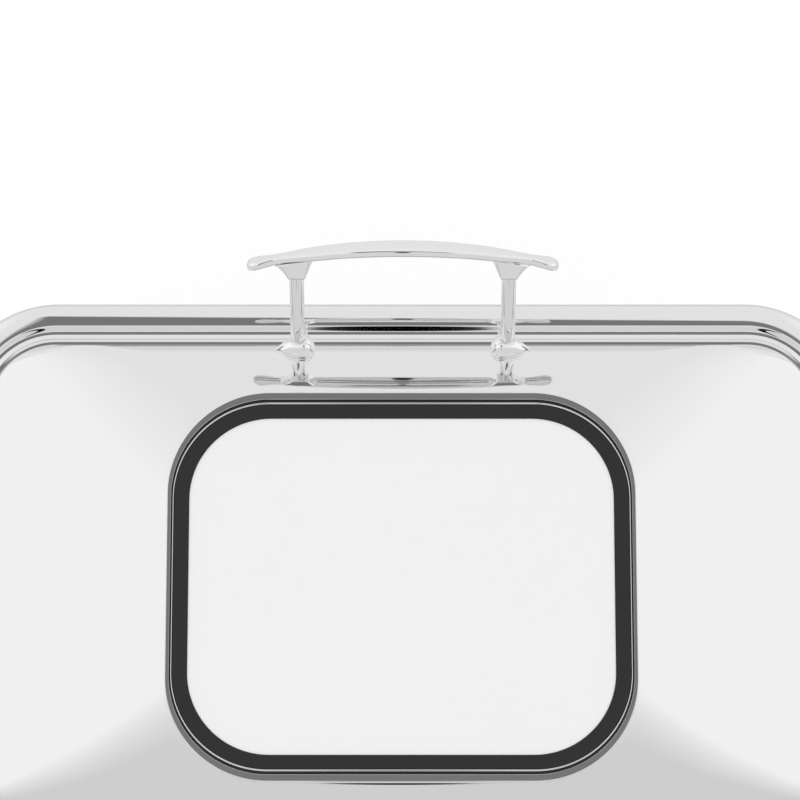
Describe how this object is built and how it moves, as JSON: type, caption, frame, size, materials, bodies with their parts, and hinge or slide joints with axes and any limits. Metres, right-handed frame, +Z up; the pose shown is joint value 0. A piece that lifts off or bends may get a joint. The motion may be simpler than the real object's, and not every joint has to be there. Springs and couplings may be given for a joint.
{
  "type": "chafing dish",
  "caption": "Full-size rectangular chafing dish with a rear-hinged window lid, arched lift handle, water pan, food pan, legged stand and two covered fuel holders.",
  "frame": {"origin": "on the table, below the centre of the overall box, which is also below the centre of the water pan", "axes": "+X along the long side, -Y towards the lift handle and +Y towards the hinges, +Z up"},
  "size_m": [0.6026, 0.4472, 0.3286],
  "materials": {
    "mirror_steel": "mirror-polished stainless steel",
    "satin_steel": "satin stainless steel",
    "clear_glass": "clear tempered pane",
    "black_rubber": "matt moulded rubber",
    "clear_silicone": "milky silicone",
    "bush_bronze": "sintered bronze",
    "friction_fibre": "pressed fibre",
    "knob_black": "moulded heat-proof resin",
    "fastener_steel": "plain stainless steel"
  },
  "bodies": {
    "stand": {"water_pan": "mirror_steel", "food_pan": "satin_steel", "stand_frame": "mirror_steel", "stand_screws": "fastener_steel", "hinge_screws": "fastener_steel", "burner_shelf": "satin_steel", "hinge_bracket_left": "mirror_steel", "hinge_pin_left": "fastener_steel", "hinge_friction_discs_left": "friction_fibre", "side_rail_left": "mirror_steel", "fuel_cup_left": "satin_steel", "cover_pin_left": "fastener_steel", "hinge_bracket_right": "mirror_steel", "hinge_pin_right": "fastener_steel", "hinge_friction_discs_right": "friction_fibre", "side_rail_right": "mirror_steel", "fuel_cup_right": "satin_steel", "cover_pin_right": "fastener_steel", "leg_front_left": "mirror_steel", "foot_pad_front_left": "black_rubber", "leg_front_right": "mirror_steel", "foot_pad_front_right": "black_rubber", "leg_rear_left": "mirror_steel", "foot_pad_rear_left": "black_rubber", "leg_rear_right": "mirror_steel", "foot_pad_rear_right": "black_rubber"},
    "lid": {"lid_shell": "mirror_steel", "window_trim_ring": "mirror_steel", "window_gasket": "black_rubber", "window_glass": "clear_glass", "window_clamp_ring": "satin_steel", "clamp_nuts": "fastener_steel", "handle_grip": "mirror_steel", "handle_screws": "fastener_steel", "lid_bumpers": "clear_silicone", "handle_foot_left": "mirror_steel", "handle_post_left": "mirror_steel", "handle_yoke_left": "mirror_steel", "hinge_arm_left": "mirror_steel", "hinge_bush_left": "bush_bronze", "handle_foot_right": "mirror_steel", "handle_post_right": "mirror_steel", "handle_yoke_right": "mirror_steel", "hinge_arm_right": "mirror_steel", "hinge_bush_right": "bush_bronze"},
    "left_snuffer": {"snuffer_cover_left": "satin_steel", "cover_knob_left": "knob_black"},
    "right_snuffer": {"snuffer_cover_right": "satin_steel", "cover_knob_right": "knob_black"}
  },
  "joints": [
    {"name": "lid_hinge", "type": "hinge", "parent": "stand", "child": "lid", "pos_m": [0, 0.2108, 0.258], "axis": [-1, 0, 0], "range_deg": [0, 90]},
    {"name": "left_snuffer_swing", "type": "hinge", "parent": "stand", "child": "left_snuffer", "pos_m": [-0.11, 0.0526, 0.0985], "axis": [0, 0, -1], "range_deg": [0, 110]},
    {"name": "right_snuffer_swing", "type": "hinge", "parent": "stand", "child": "right_snuffer", "pos_m": [0.11, 0.0526, 0.0985], "axis": [0, 0, 1], "range_deg": [0, 110]}
  ]
}
